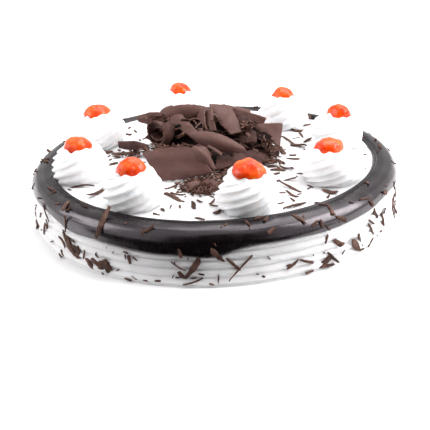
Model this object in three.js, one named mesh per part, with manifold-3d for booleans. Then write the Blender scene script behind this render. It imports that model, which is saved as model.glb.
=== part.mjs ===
// Black forest cake: one uncut round cream cake with a combed side and a glazed rim, a ring of
// eight piped rosettes with half cherries on them, and a heap of chocolate curls in the middle.
// Millimetres, +Z up. The origin is the centre of the underside, and -Y is the front.
import * as THREE from 'three';
import { mergeVertices } from 'three/addons/utils/BufferGeometryUtils.js';
import Module from 'manifold-3d';

// ---- Driving dimensions --------------------------------------------------------------------

const SEGMENTS = 60; // facets round the cake
const GAP = 0.3; // clearance between touching pieces
const BASE_RADIUS = 131.6; // crest of the lowest comb ridge
const TOP_Z = 38; // cream surface on top
const RIM_RADIUS = 114.3; // edge of the open cream on top, inside the glaze

const COMB = { first: 4.1, pitch: 5.4, ridges: 4, depth: 1.7, crest: 0.44, taper: 0.035 };

// The glaze covers the shoulder above the bare wall, and its rim stands a lip above the cream.
const GLAZE = { thickness: 2.1, wall: 129.2, wallFoot: 24.5, lip: 1.1, edge: 27 };
// Lobes of the glaze's lower edge: azimuth from the front (+ to the right), half width, drop.
const GLAZE_LOBES = [
  [-1.5, 7.5, 5.6], [-17, 12, 5.2], [-33, 9, 2.6], [-46, 6, 3.2], [-63, 8, -3.6], [33, 6, 0.8],
  [61, 6, -4.4], [82, 9, 1.6], [104, 10, -0.6], [128, 9, 2.6], [150, 8, 1.0], [173, 11, 3.2],
  [200, 8, -0.6], [222, 10, 2.6], [248, 9, 1.2], [272, 8, -0.8],
];

const ROSETTE = { height: 23, lobes: 8, facets: 3, groove: 2.6, lean: 1.6, uneven: 0.03 };
// Height share, radius share and groove share of the rings that make a rosette.
const ROSETTE_RINGS = [
  [0, 0.8, 0.7], [0.075, 0.83, 0.8], [0.26, 0.99, 1], [0.52, 0.98, 1], [0.78, 0.88, 0.9],
  [0.95, 0.7, 0.6],
];
// Centre x and y, overall width, total turn in degrees, share of the full height, and how far
// the top stands off the centre.
const ROSETTES = [
  [-87, 42, 41, 195, 1, 0.3, 0], [-92.8, -31, 39.5, 180, 0.98, -0.8, 0],
  [-52.8, -81.8, 40, 170, 1, -0.5, -0.5], [20, -95, 40.7, 185, 1.02, 1.8, -0.6],
  [80.8, -50, 43.4, 200, 0.94, -3.2, -0.8], [92, 17.5, 38.4, 190, 1, 1.4, 0],
  [56, 70, 40, 180, 0.98, 0.3, -0.8], [-25, 93, 40, 175, 1, 0, 0.8],
];

const CHERRY = { facets: 12, rings: 3, topRing: 68, dimple: 4, rim: 0.47, foot: 0.3, margin: 0.45 };
// Width, height above the cream and yaw of each half cherry, in the rosettes' order.
const CHERRIES = [
  [21, 8, 10], [19.6, 8, 65], [19.4, 9.2, 120], [22.2, 9.4, 20], [19.4, 7.6, 85],
  [17, 8.2, 150], [17.6, 7.8, 40], [17.6, 7.8, 100],
];

// Lumps of small shavings that carry the curls: x, y, length, width, height.
const LUMPS = [
  [-2, -4, 88, 60, 12], [-6, 14, 66, 36, 26], [28, 2, 36, 34, 19], [-8, -56, 24, 30, 3.5],
];
const LUMP_FACETS = 16;
const CURL = { thickness: 1.7, facetTurn: 26 };
// The large curls and plates, each a strip bent along its length:
// length, width, bend, curl, taper, cup, skew, leaf, then its middle x, y, z and yaw, pitch, roll.
const CURLS = [
  [39, 23, 14, 0, -0.08, 0.05, -0.54, 0.14, -25.7, -40.9, 50.3, -14, -9, 60], // front left sheet
  [46, 12, 76, 0, 0, 0.35, -0.3, 0.7, 0.5, -24.4, 59.3, -25, 8, 65], // roll across the middle
  [44, 10, 8, 0, -0.3, 0.1, 0.08, 0.1, -24.3, 13.9, 63, -60, 11, 28], // ribbon from arch to roll
  [40, 11, 68, 0, -0.12, 0.15, -0.05, 0.6, -19.2, 20.2, 67.6, -2, -3, 68], // arch at the top
  [20, 7, 18, 0, 0.37, 0.05, -0.26, 0.3, -46.8, 27, 61.8, -23, -8, 68], // plate, upper left
  [23, 15, 126, 0, -0.3, 0.15, -0.17, 0.05, -29.2, 1.9, 55.8, 47, 110, 70], // flap at the scroll
  [32, 14, 11, 0, -0.14, 0.08, 0.08, 0.37, 11.1, 8.2, 65.4, -66, 24, 8], // leaning plate
  [24, 3.5, 12, 0, 0.14, 0, 0, 0, 26.5, 19.8, 62.4, -16, 17, 56], // bar behind it
  [19, 14, 43, 0, 0.32, 0, -0.1, 0, 40.9, 4.2, 54.4, -7, 11, 52], // broad plate, far right
  [17, 10, 20, 0, -0.14, 0, 0.17, 0.1, 39.6, -7.5, 43.8, 17, 4, 53], // plate under it
  [36, 14, 12, 0, 0.1, 0.03, 0.5, 0, 18, -24.1, 45.3, 25, 4, 20], // plates under the roll
  [29, 12, 18, 0, 0, 0, 0.35, 0, 26.1, -19.6, 44.9, 24, 8, 24],
  [25, 7, 100, 0, -0.18, 0.3, -0.1, 0.35, -6.5, -44.2, 56.3, -35, 38, 31], // small front curls
  [18, 9, 170, 0.1, -0.2, 0.1, 0, 0.2, -8, -37, 57, -30, 10, 20],
  [28, 7, 15, 0, -0.16, 0.3, -0.5, 0.15, -59.1, 14.4, 46.5, -32, -2, 25], // roll, far left
  [34, 8, 8, 0, -0.25, 0, 0.27, 0, 14.3, 32.7, 64.3, 23, 14, 17], // strip along the back
  [20, 9, 68, 0, -0.3, 0.1, 0.28, 0, -9, 9.7, 64.8, -83, 40, 60], // folds behind the roll
  [19, 7, 44, 0, -0.17, 0.1, 0.29, 0.1, -2.1, 7, 64.9, -79, 38, 38],
  [13, 12, 32, 0, -0.3, 0.1, -0.5, 0.1, 24.8, 14.5, 61.5, -30, 14, 20], // broken edges
  [13, 14, 40, 0, -0.2, 0.1, -0.29, 0.15, 25.3, -3.6, 55.8, -25, -3, 23],
  [62, 16, 430, 0.3, 0, 0, 0, 0, -37, 26, 61, -40, 0, 0], // scroll at the left
  [44, 22, 50, 0, -0.2, 0.05, 0, 0, -16, 30, 53, 170, 8, 45], // sheets at the back
  [38, 20, 60, 0, -0.2, 0.1, 0, 0, 15, 29, 50, 200, 8, 45],
  [30, 14, 140, 0.2, 0, 0, 0, 0, -36, 34, 48, 140, 0, 30],
  [11, 5, 60, 0, -0.3, 0, 0, 0, -13, -60, 41.5, 40, 4, 20], // broken pieces at the front
  [11, 5, 60, 0, -0.3, 0, 0, 0, -3, -58, 41.5, -35, 0, 24],
];
// Small broken curls round the foot of the heap: how many, and their sizes.
const SCRAPS = { count: 9, length: [12, 22], width: [5, 9], bend: [20, 110], rise: [2, 8] };

// Every flake is a pointed splinter; the rows below give its length and width.
const FLAKE = { width: [1.5, 3], length: [6, 14], height: 2.2, room: 0.4 };
// Flakes that lie on the open cream: x, y, length, width and yaw.
const TOP_FLAKES = [
  [-93, -49, 24, 1.5, -8], [-80, -63, 17, 3, 55], [-26, -76, 22, 3, -50], [-25, -70, 11, 1, -20],
  [-29, -55, 12, 1.5, 40], [-14, -90, 8, 3, -85], [-10, -111, 8, 1.5, -40], [-74, -5, 9, 3.5, 30],
  [-79, 19, 10, 3.5, 45], [-66, 15, 18, 4, 15], [66, 53, 10, 4, -25], [79, 82, 12, 1.5, 85],
  [75, 66, 8, 3, 45], [68, 41, 14, 1.5, -80], [71, 28, 10, 3, 35], [56, 33, 17, 2.5, -65],
  [63, 19, 13, 4.5, -35], [51, 5, 13, 4, -75], [57, -10, 10, 2, -25], [44, -31, 12, 3, -20],
  [51, -29, 10, 2, -30], [50, -51, 12, 1.5, -10], [52, -67, 26, 2, -50], [50, -79, 11, 1.5, -50],
  [53, -95, 12, 3, 30], [76, -76, 12, 5, -45], [-2, -85, 10, 1.5, 70], [-50, -48, 9, 1.5, 30],
];
const BACK_FLAKES = { count: 8, inner: 50, outer: 108 };
// Flakes on the glaze: azimuth, way up from its lower edge, length, width and slant.
const GLAZE_FLAKES = [
  [-51, 21, 15, 2.7, -50], [-48, 9, 14, 1.2, 75], [-33, 20, 23, 3.3, 80], [-60, 8, 14, 1.2, -50],
  [-45, 27, 13, 1.2, -5], [9, 24, 8, 1.5, -80], [15, 26, 10, 2.7, 55], [24, 20, 11, 2.7, -65],
  [35, 19, 8, 2, 80], [37, 12, 9, 2.7, -30], [93, 24, 8, 1.7, 5], [60, 12, 8, 2, -35],
  [49, 17, 10, 1.2, -15], [-103, 20, 10, 2, 50], [-93, 22, 11, 1.2, 40], [-66, 23, 10, 1.2, 10],
  [130, 16, 9, 2, 40], [165, 20, 8, 2, -30], [205, 14, 9, 2, 60], [235, 21, 8, 2, 15],
];
const GLAZE_FLAKE = { foot: 20, height: 2, proud: 0.2 };
// Flakes on the combed side: azimuth, height, length, width and slant.
const SIDE_FLAKES = [
  [-49, 14, 12, 2.7, -60], [-46, 11, 14, 4, -45], [-41, 12, 8, 1.2, 80], [-39, 6, 8, 3.3, -60],
  [-33, 8, 9, 5, -5], [-11, 15, 11, 1.2, -30], [-7, 11, 16, 3.3, 55], [-7, 4.5, 14, 1.2, 20],
  [36, 15, 8, 3.3, -40], [43, 9, 13, 5, -60], [34, 7, 12, 2, -50], [32, 3, 12, 2, -5],
  [21, 10, 10, 1.7, 30], [25, 10, 11, 1.7, -25], [4, 14, 13, 2, -50], [6, 10, 18, 1.2, 45],
  [51, 14, 13, 2, -55], [59, 14, 14, 1.7, -70], [-64, 12, 9, 2, 70], [68, 13, 14, 1.2, 80],
  [71, 14, 9, 2, 70], [120, 11, 9, 2, 40], [165, 9, 8, 3, -50], [215, 12, 9, 2, 60],
  [250, 8, 8, 2, -20],
];
const SIDE_FLAKE = { height: 2.6, sunk: 1.3 };
const SEED = 7;

// ---- Solids ---------------------------------------------------------------------------------

const wasm = await Module();
wasm.setup();

function randomSource(seed) {
  let state = seed;
  return (low = 0, high = 1) => {
    state = (state * 1664525 + 1013904223) % 4294967296;
    return low + ((high - low) * state) / 4294967296;
  };
}
const random = randomSource(SEED);

const radians = THREE.MathUtils.degToRad;
const span = (count, make) => Array.from({ length: count }, (_, i) => make(i));

// Shared corners only, and no triangle that has shrunk to a line.
function weld(geometry) {
  const bare = geometry.clone();
  bare.deleteAttribute('normal');
  bare.deleteAttribute('uv');
  const merged = mergeVertices(bare, 1e-4);
  const corners = merged.index.array;
  const kept = [];
  for (let i = 0; i < corners.length; i += 3) {
    const [a, b, c] = corners.slice(i, i + 3);
    if (a !== b && b !== c && c !== a) kept.push(a, b, c);
  }
  merged.setIndex(kept);
  return merged;
}

function signedVolume(geometry) {
  const points = geometry.attributes.position;
  const corners = geometry.index.array;
  const [a, b, c] = span(3, () => new THREE.Vector3());
  let volume = 0;
  for (let i = 0; i < corners.length; i += 3) {
    a.fromBufferAttribute(points, corners[i]);
    b.fromBufferAttribute(points, corners[i + 1]);
    c.fromBufferAttribute(points, corners[i + 2]);
    volume += a.dot(b.cross(c)) / 6;
  }
  return volume;
}

// A closed geometry as a solid, turned outside out where its triangles face in.
function solid(geometry) {
  const welded = weld(geometry);
  const corners = Array.from(welded.index.array);
  if (signedVolume(welded) < 0) corners.reverse();
  return new wasm.Manifold(new wasm.Mesh({
    numProp: 3,
    vertProperties: new Float32Array(welded.attributes.position.array),
    triVerts: new Uint32Array(corners),
  }));
}

function geometryOf(body) {
  const mesh = body.getMesh();
  const geometry = new THREE.BufferGeometry();
  geometry.setAttribute('position', new THREE.BufferAttribute(mesh.vertProperties, 3));
  geometry.setIndex(new THREE.BufferAttribute(mesh.triVerts, 1));
  geometry.computeVertexNormals();
  return geometry;
}

// The largest of a solid's separate pieces, without loose scraps and sealed hollows.
function largest(body) {
  return body.decompose().reduce((best, piece) => (piece.volume() > best.volume() ? piece : best));
}

const fuse = (pieces) => largest(pieces.reduce((whole, piece) => whole.add(piece)));

const overlaps = (piece, others) => others.some((other) => other.intersect(piece).volume() > 0);

// Triangles between rings of points, closed up, or with a fan on the first and the last ring.
// The last fan's middle stands tip higher than its ring.
function ringGeometry(rings, { closed = false, tip = 0 } = {}) {
  const count = rings[0].length;
  const points = rings.flat();
  const corners = [];
  const bands = closed ? rings.length : rings.length - 1;
  for (let ring = 0; ring < bands; ring += 1) {
    const next = (ring + 1) % rings.length;
    for (let i = 0; i < count; i += 1) {
      const j = (i + 1) % count;
      const [a, b, c, d] = [ring * count + i, ring * count + j, next * count + j, next * count + i];
      corners.push(a, b, c, a, c, d);
    }
  }
  const cap = (ring, flip, rise = 0) => {
    const centre = new THREE.Vector3(0, 0, rise);
    rings[ring].forEach((point) => centre.addScaledVector(point, 1 / count));
    points.push(centre);
    for (let i = 0; i < count; i += 1) {
      const edge = [ring * count + i, ring * count + ((i + 1) % count)];
      corners.push(...(flip ? edge.reverse() : edge), points.length - 1);
    }
  };
  if (!closed) {
    cap(0, true);
    cap(rings.length - 1, false, tip);
  }
  const geometry = new THREE.BufferGeometry().setFromPoints(points);
  geometry.setIndex(corners);
  return geometry;
}

// ---- Cake and glaze ---------------------------------------------------------------------------

// Outline of the combed side: blunt ridges one above the other, on a slight taper.
function combProfile() {
  const points = [new THREE.Vector2(BASE_RADIUS - COMB.depth, 0)];
  for (let i = 0; i < COMB.ridges; i += 1) {
    const z = COMB.first + i * COMB.pitch;
    const crest = BASE_RADIUS - COMB.taper * z;
    const flat = (COMB.pitch * COMB.crest) / 2;
    points.push(new THREE.Vector2(crest, z - flat));
    points.push(new THREE.Vector2(crest, z + flat));
    points.push(new THREE.Vector2(crest - COMB.depth, z + COMB.pitch / 2));
  }
  return points;
}

// The shoulder that the glaze covers, from the wall up to the open cream on top. The glaze's
// inside and outside are this same line, moved out along its normal.
function shoulderProfile(offset) {
  const wall = GLAZE.wall;
  const high = TOP_Z + GLAZE.lip - GLAZE.thickness - GAP;
  return [
    [wall, high - 7, 1, 0.05], [wall - 0.8, high - 4, 0.95, 0.32], [wall - 3, high - 1.4, 0.6, 0.8],
    [wall - 6.5, high - 0.2, 0.2, 0.98], [wall - 10, high, 0, 1],
  ].map(([r, z, outward, upward]) => new THREE.Vector2(r + offset * outward, z + offset * upward));
}

// The skin of air between the glaze's lower edge and the combed side below it.
function glazeRoom() {
  const rings = span(SEGMENTS, (i) => {
    const azimuth = (360 * i) / SEGMENTS;
    const low = glazeEdge(azimuth) - GAP;
    const wall = GLAZE.wall + 0.05;
    const angle = radians(azimuth - 90);
    const section = [[wall, low], [wall + 5, low], [wall + 5, TOP_Z - 8], [wall, TOP_Z - 8]];
    return section.map(([r, z]) => new THREE.Vector3(r * Math.cos(angle), r * Math.sin(angle), z));
  });
  return solid(ringGeometry(rings, { closed: true }));
}

function cakeBody() {
  const shoulder = shoulderProfile(0);
  const step = [shoulder.at(-1).y, TOP_Z].map((z) => new THREE.Vector2(RIM_RADIUS, z));
  const profile = [
    new THREE.Vector2(0, 0), ...combProfile(), new THREE.Vector2(GLAZE.wall, GLAZE.wallFoot),
    ...shoulder, ...step, new THREE.Vector2(0, TOP_Z),
  ];
  const whole = solid(new THREE.LatheGeometry(profile, SEGMENTS).rotateX(Math.PI / 2));
  return whole.subtract(glazeRoom());
}

// Height of the glaze's lower edge.
function glazeEdge(azimuth) {
  return GLAZE_LOBES.reduce((z, [centre, width, drop]) => {
    const away = THREE.MathUtils.euclideanModulo(azimuth - centre + 180, 360) - 180;
    return z - drop * Math.exp(-((away / width) ** 2));
  }, GLAZE.edge);
}

// A thin skin over the shoulder, with a fine ridge near its inner rim and a wavy lower edge.
function glazeBand() {
  const inside = shoulderProfile(GAP);
  const outside = shoulderProfile(GAP + GLAZE.thickness);
  const rimInside = new THREE.Vector2(RIM_RADIUS + GAP, inside.at(-1).y);
  const rimOutside = new THREE.Vector2(RIM_RADIUS + GAP, outside.at(-1).y);
  const ridge = new THREE.Vector2(RIM_RADIUS + 3.4, outside.at(-1).y + 0.35);
  const rings = span(SEGMENTS, (i) => {
    const azimuth = (360 * i) / SEGMENTS;
    const low = glazeEdge(azimuth);
    const wall = GLAZE.wall + GAP;
    const edge = [[wall, low + 0.3], [wall + 1.2, low], [wall + GLAZE.thickness, low + 1]]
      .map(([r, z]) => new THREE.Vector2(r, z));
    const rim = [ridge, rimOutside, rimInside];
    const section = [...edge, ...outside, ...rim, ...inside.slice(0, -1).reverse()];
    const angle = radians(azimuth - 90);
    return section.map((p) => new THREE.Vector3(p.x * Math.cos(angle), p.x * Math.sin(angle), p.y));
  });
  return solid(ringGeometry(rings, { closed: true }));
}

// ---- Rosettes and cherries --------------------------------------------------------------------

// How far the top of a rosette leans down towards the outside of the cake, at one of its points.
function leaning(point, centre, height) {
  const outward = centre.clone().normalize();
  const across = point.clone().sub(centre).dot(outward) / (ROSETTE.height * 0.8);
  return -ROSETTE.lean * across * height * height;
}

// A star-shaped dome whose lobes wind round it as they rise, with a dimple on top.
function rosette([x, y, width, turn, share, tipX, tipY], phase) {
  const count = ROSETTE.lobes * ROSETTE.facets;
  const tall = ROSETTE.height * share;
  const centre = new THREE.Vector2(x, y);
  const dimple = [[1, CHERRY.rim, 0], [1 - CHERRY.dimple / tall, CHERRY.foot, 0]];
  const rings = [...ROSETTE_RINGS, ...dimple].map(([height, radius, depth], level) => {
    const loose = height > 0.1 && height < 0.9;
    const winding = radians(turn) * Math.min(height, ROSETTE_RINGS.at(-1)[0]);
    return span(count, (i) => {
      const valley = i % ROSETTE.facets === 0 ? 1 : 0;
      const wave = Math.sin(2.1 * level + phase + (4 * Math.PI * i) / count);
      const swell = loose ? 1 + ROSETTE.uneven * wave : 1;
      const r = (width / 2) * radius * swell - ROSETTE.groove * depth * valley;
      const angle = phase + winding + (2 * Math.PI * i) / count;
      const point = new THREE.Vector2(r * Math.cos(angle), r * Math.sin(angle)).add(centre);
      const z = TOP_Z + GAP + tall * height + leaning(point, centre, height);
      point.add(new THREE.Vector2(tipX, tipY).multiplyScalar(Math.min(1, height / 0.8) ** 2));
      return new THREE.Vector3(point.x, point.y, z);
    });
  });
  return solid(ringGeometry(rings));
}

// A half cherry: a rounded, slightly uneven dome whose narrow foot sits in the rosette's dimple.
function cherry([width, height, yaw], [x, y, rosetteWidth, , share, tipX, tipY]) {
  const seat = TOP_Z + GAP + ROSETTE.height * share + CHERRY.margin;
  const centre = new THREE.Vector2(x, y);
  const half = rosetteWidth / 2;
  const foot = [half * CHERRY.foot - CHERRY.margin, seat - CHERRY.dimple];
  const waist = [half * CHERRY.rim - CHERRY.margin, seat];
  const dome = span(CHERRY.rings, (i) => {
    const climb = radians((CHERRY.topRing * i) / (CHERRY.rings - 1));
    return [(width / 2) * Math.cos(climb), seat + 0.4 + (height - 0.4) * Math.sin(climb)];
  });
  const rings = [foot, waist, ...dome].map(([r, z], level) => span(CHERRY.facets, (i) => {
    const angle = (2 * Math.PI * i) / CHERRY.facets + radians(yaw);
    const uneven = level < 2 ? 1 : 1 + 0.03 * Math.sin(3 * angle + yaw) + 0.02 * Math.sin(5 * angle);
    const reach = r * uneven;
    const point = new THREE.Vector2(reach * Math.cos(angle), reach * Math.sin(angle)).add(centre);
    const tilt = leaning(point, centre, 1);
    return new THREE.Vector3(point.x + tipX, point.y + tipY, z + tilt);
  }));
  return solid(ringGeometry(rings, { tip: height * (1 - Math.sin(radians(CHERRY.topRing))) }));
}

// ---- Chocolate ----------------------------------------------------------------------------------

// A strip bent along its length: centred on its middle, level there, its ends turning down.
function strip([length, width, bend, curl, taper, cup, skew, leaf]) {
  const steps = Math.max(leaf > 0.3 ? 4 : 2, Math.round(bend / CURL.facetTurn));
  const across = cup ? 3 : 1;
  const stations = [];
  let [x, z, heading] = [0, 0, 0];
  for (let i = 0; i <= steps; i += 1) {
    stations.push([x, z, heading, i / steps - 0.5]);
    const turn = (radians(bend) / steps) * (1 + 2 * curl * ((i + 0.5) / steps - 0.5));
    x += (Math.cos(heading + turn / 2) * length) / steps;
    z -= (Math.sin(heading + turn / 2) * length) / steps;
    heading += turn;
  }
  const middle = stations[Math.floor(steps / 2)];
  const level = new THREE.Matrix4().makeRotationY(-middle[2])
    .multiply(new THREE.Matrix4().makeTranslation(-middle[0], 0, -middle[1]));
  const rings = stations.map(([sx, sz, angle, u]) => {
    const wide = width * (1 + 2 * taper * u) * (1 - 4 * leaf * u * u);
    const edge = (side, from, to) => span(across + 1, (k) => {
      const v = from + ((to - from) * k) / across;
      const lift = side * (CURL.thickness / 2) - cup * wide * 4 * v * v;
      const along = skew * width * v;
      const px = sx + lift * Math.sin(angle) + along * Math.cos(angle);
      const pz = sz + lift * Math.cos(angle) - along * Math.sin(angle);
      return new THREE.Vector3(px, wide * v, pz).applyMatrix4(level);
    });
    return [...edge(-1, -0.5, 0.5), ...edge(1, 0.5, -0.5)];
  });
  return ringGeometry(rings);
}

function placed(geometry, [x, y, z], [yaw, pitch, roll]) {
  const turn = new THREE.Euler(radians(roll), radians(pitch), radians(yaw), 'ZYX');
  geometry.applyMatrix4(new THREE.Matrix4().makeRotationFromEuler(turn));
  return geometry.translate(x, y, z);
}

const curlSolid = (curl) => solid(placed(strip(curl.slice(0, 8)), curl.slice(8, 11), curl.slice(11)));

// A low uneven mound.
function lump([x, y, length, width, height]) {
  const levels = [[0, 1], [0.45, 0.95], [0.8, 0.7], [1, 0.36]];
  const rings = levels.map(([climb, radius]) => span(LUMP_FACETS, (i) => {
    const angle = (2 * Math.PI * i) / LUMP_FACETS;
    const reach = radius * random(0.92, 1.04);
    const z = TOP_Z + GAP + height * climb * (climb ? random(0.92, 1.05) : 1);
    const across = (length / 2) * reach * Math.cos(angle);
    const along = (width / 2) * reach * Math.sin(angle);
    return new THREE.Vector3(x + across, y + along, z);
  }));
  return solid(ringGeometry(rings));
}

// Broken curls lying round the foot of the main lump, each turned its own way.
function scraps([x, y, length, width]) {
  return span(SCRAPS.count, (i) => {
    const angle = (2 * Math.PI * (i + random(-0.3, 0.3))) / SCRAPS.count;
    const reach = random(0.8, 1);
    const size = [random(...SCRAPS.length), random(...SCRAPS.width), random(...SCRAPS.bend)];
    const across = x + (length / 2) * reach * Math.cos(angle);
    const along = y + (width / 2) * reach * Math.sin(angle);
    const z = TOP_Z + random(...SCRAPS.rise);
    const turn = [random(0, 360), random(-25, 25), random(-35, 35)];
    return curlSolid([...size, 0, 0, 0, 0, 0, across, along, z, ...turn]);
  });
}

function chocolateHeap(neighbours) {
  const below = new THREE.BoxGeometry(400, 400, 60).translate(0, 0, TOP_Z + GAP - 30);
  const curls = [...CURLS.map(curlSolid), ...scraps(LUMPS[0])];
  const kept = curls.filter((piece) => !overlaps(piece, neighbours));
  return largest(fuse([...LUMPS.map(lump), ...kept]).subtract(solid(below)));
}

// A pointed splinter of chocolate, lying flat round the origin.
function flake(length, width, height = FLAKE.height) {
  return new THREE.OctahedronGeometry(0.5).scale(length, width, height);
}

// Flakes half sunk in the open cream: the listed ones, and some strewn over its back half.
// Each has some room to everything that stands on the cream.
function topFlakes(neighbours) {
  const free = ([x, y, length, width, yaw]) => {
    const room = flake(length + 2 * FLAKE.room, width + 2 * FLAKE.room, FLAKE.height + 2 * FLAKE.room);
    return !overlaps(solid(placed(room, [x, y, TOP_Z], [yaw, 0, 0])), neighbours);
  };
  const rows = TOP_FLAKES.filter(free);
  const all = rows.length + BACK_FLAKES.count;
  while (rows.length < all) {
    const angle = random(0, Math.PI);
    const reach = random(BACK_FLAKES.inner, BACK_FLAKES.outer);
    const [x, y] = [reach * Math.cos(angle), reach * Math.sin(angle)];
    const row = [x, y, random(...FLAKE.length), random(...FLAKE.width), random(0, 360)];
    if (free(row)) rows.push(row);
  }
  return rows.map(([x, y, length, width, yaw]) => (
    solid(placed(flake(length, width), [x, y, TOP_Z], [yaw, 0, 0]))
  ));
}

// Flakes stuck to the combed side.
function sideFlakes() {
  return SIDE_FLAKES.map(([azimuth, z, length, width, slant]) => {
    const piece = flake(length, width, SIDE_FLAKE.height);
    piece.rotateZ(radians(slant)).rotateX(Math.PI / 2);
    return solid(piece.translate(0, -BASE_RADIUS + SIDE_FLAKE.sunk, z).rotateZ(radians(azimuth)));
  });
}

// Flakes on the glaze follow the slope of its shoulder.
function glazeFlakes() {
  const outside = shoulderProfile(GAP + GLAZE.thickness);
  const foot = new THREE.Vector2(GLAZE.wall + GAP + GLAZE.thickness, GLAZE_FLAKE.foot);
  const line = [foot, ...outside, new THREE.Vector2(RIM_RADIUS, outside.at(-1).y)];
  return GLAZE_FLAKES.map(([azimuth, reach, length, width, slant]) => {
    let [from, left] = [0, reach];
    while (left > line[from].distanceTo(line[from + 1]) && from < line.length - 2) {
      left -= line[from].distanceTo(line[from + 1]);
      from += 1;
    }
    const step = line[from + 1].clone().sub(line[from]);
    const place = line[from].clone().addScaledVector(step.clone().normalize(), left);
    const piece = flake(length, width, GLAZE_FLAKE.height);
    piece.rotateZ(radians(slant)).rotateX(Math.atan2(step.y, -step.x));
    return solid(piece.translate(0, -place.x, place.y + GLAZE_FLAKE.proud).rotateZ(radians(azimuth)));
  });
}

// ---- The cake -------------------------------------------------------------------------------------

const cream = new THREE.MeshStandardMaterial({ color: 0xf6f3f4, roughness: 0.55, metalness: 0 });
const glaze = new THREE.MeshStandardMaterial({ color: 0x120c10, roughness: 0.22, metalness: 0 });
const fruit = new THREE.MeshStandardMaterial({ color: 0xf2501c, roughness: 0.25, metalness: 0 });
const chocolate = new THREE.MeshStandardMaterial({ color: 0x4a3430, roughness: 0.5, metalness: 0 });

const rosettes = ROSETTES.map((size, i) => rosette(size, i * 1.7));
const cherries = CHERRIES.map((size, i) => cherry(size, ROSETTES[i]));
const heap = chocolateHeap([...rosettes, ...cherries]);
const bareCake = cakeBody();
const onGlaze = glazeFlakes().filter((piece) => !overlaps(piece, [...rosettes, bareCake]));
const band = fuse([glazeBand(), ...onGlaze]);
const onSide = sideFlakes().filter((piece) => !overlaps(piece, [band]));
const body = fuse([bareCake, ...topFlakes([...rosettes, heap, band]), ...onSide]);

const cake = new THREE.Group();

function addMesh(name, shape, material) {
  const mesh = new THREE.Mesh(geometryOf(shape), material);
  mesh.name = name;
  cake.add(mesh);
}

addMesh('cake_body', body, cream);
addMesh('glaze_band', band, glaze);
rosettes.forEach((shape, i) => addMesh(`rosette_${i + 1}`, shape, cream));
cherries.forEach((shape, i) => addMesh(`cherry_${i + 1}`, shape, fruit));
addMesh('chocolate_heap', heap, chocolate);

export default cake;
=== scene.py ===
"""Black forest cake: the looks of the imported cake, its cream, glaze, cherries and chocolate.

Sizes are in millimetres in the cake's own frame (+Z up, -Y the front) until mesh_of turns them
into metres. The height of the open cream and the place of each cherry are read from the frame.
Azimuths are in degrees round the cake, from 0 at the front and + to the right.
"""
import math

import bpy
import numpy as np
from mathutils import Matrix, Vector


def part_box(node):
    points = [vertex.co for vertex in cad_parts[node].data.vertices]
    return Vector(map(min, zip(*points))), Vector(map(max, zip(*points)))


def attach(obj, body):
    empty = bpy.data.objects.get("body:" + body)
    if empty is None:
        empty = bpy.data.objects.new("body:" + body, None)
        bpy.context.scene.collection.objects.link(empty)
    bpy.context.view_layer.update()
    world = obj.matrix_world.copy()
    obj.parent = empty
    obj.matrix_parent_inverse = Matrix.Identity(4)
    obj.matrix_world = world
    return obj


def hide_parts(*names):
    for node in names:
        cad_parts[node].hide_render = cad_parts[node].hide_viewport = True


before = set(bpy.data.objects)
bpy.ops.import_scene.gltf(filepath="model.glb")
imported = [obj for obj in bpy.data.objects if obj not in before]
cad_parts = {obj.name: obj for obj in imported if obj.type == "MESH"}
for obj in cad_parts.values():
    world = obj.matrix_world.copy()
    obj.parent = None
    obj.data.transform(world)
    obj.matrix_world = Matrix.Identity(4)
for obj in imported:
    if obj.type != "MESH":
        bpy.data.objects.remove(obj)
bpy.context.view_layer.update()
MM = 0.001
SEED = 7


def box_mm(node):
    """Lowest and highest corner of a CAD node, in millimetres."""
    low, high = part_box(node)
    return np.array(low) / MM, np.array(high) / MM


# ---- Sizes --------------------------------------------------------------------------------------

# Touching solids stand this far apart, and the heap's foot lies on the open cream.
GAP = 0.3
TOP_Z = box_mm("chocolate_heap")[0][2] - GAP
# Radii of the combed side at its foot, of the wall under the glaze and of the glaze's inner rim.
BASE_RADIUS, WALL_RADIUS, RIM_RADIUS = 131.6, 129.2, 114.3
GLAZE_THICKNESS = 2.1
# How far the glaze stands over the open cream, and the height from which its flakes are placed.
GLAZE_RISE, GLAZE_FLAKE_FOOT = 1.1, 20.0
# The combed side's ridges: height of the first, pitch, depth, and how much it leans in per mm.
COMB = {"first": 4.1, "pitch": 5.4, "depth": 1.7, "taper": 0.035}
# Height at which the combed side ends, under the glaze.
SIDE_TOP = 30
# How far out from the rim the glaze's rim and shoulder reach, which shine less than its face.
RIM_ZONE, SHOULDER_ZONE = 8, 13.5
# Height of the glaze's lower edge where it has no lobe.
GLAZE_EDGE = 27
# Lobes of that edge: azimuth, half width, drop.
GLAZE_LOBES = [
    (-1.5, 7.5, 5.6), (-17, 12, 5.2), (-33, 9, 2.6), (-46, 6, 3.2), (-63, 8, -3.6), (33, 6, 0.8),
    (61, 6, -4.4), (82, 9, 1.6), (104, 10, -0.6), (128, 9, 2.6), (150, 8, 1.0), (173, 11, 3.2),
    (200, 8, -0.6), (222, 10, 2.6), (248, 9, 1.2), (272, 8, -0.8),
]

ROSETTE_LOBES, POINTS_PER_LOBE = 8, 24
ROSETTE_HEIGHT = 23
ROSETTE_LEAN = 1.6
ROSETTE_GROOVE = 2.3
# Centre x and y, width, total turn in degrees, share of the full height, and how far the top
# stands off the centre in x and y.
ROSETTE_ROWS = [
    (-87, 42, 41, 195, 1, 0.3, 0), (-92.8, -31, 39.5, 180, 0.98, -0.8, 0),
    (-52.8, -81.8, 40, 170, 1, -0.5, -0.5), (20, -95, 40.7, 185, 1.02, 1.8, -0.6),
    (80.8, -50, 43.4, 200, 0.94, -3.2, -0.8), (92, 17.5, 38.4, 190, 1, 1.4, 0),
    (56, 70, 40, 180, 0.98, 0.3, -0.8), (-25, 93, 40, 175, 1, 0, 0.8),
]
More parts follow.
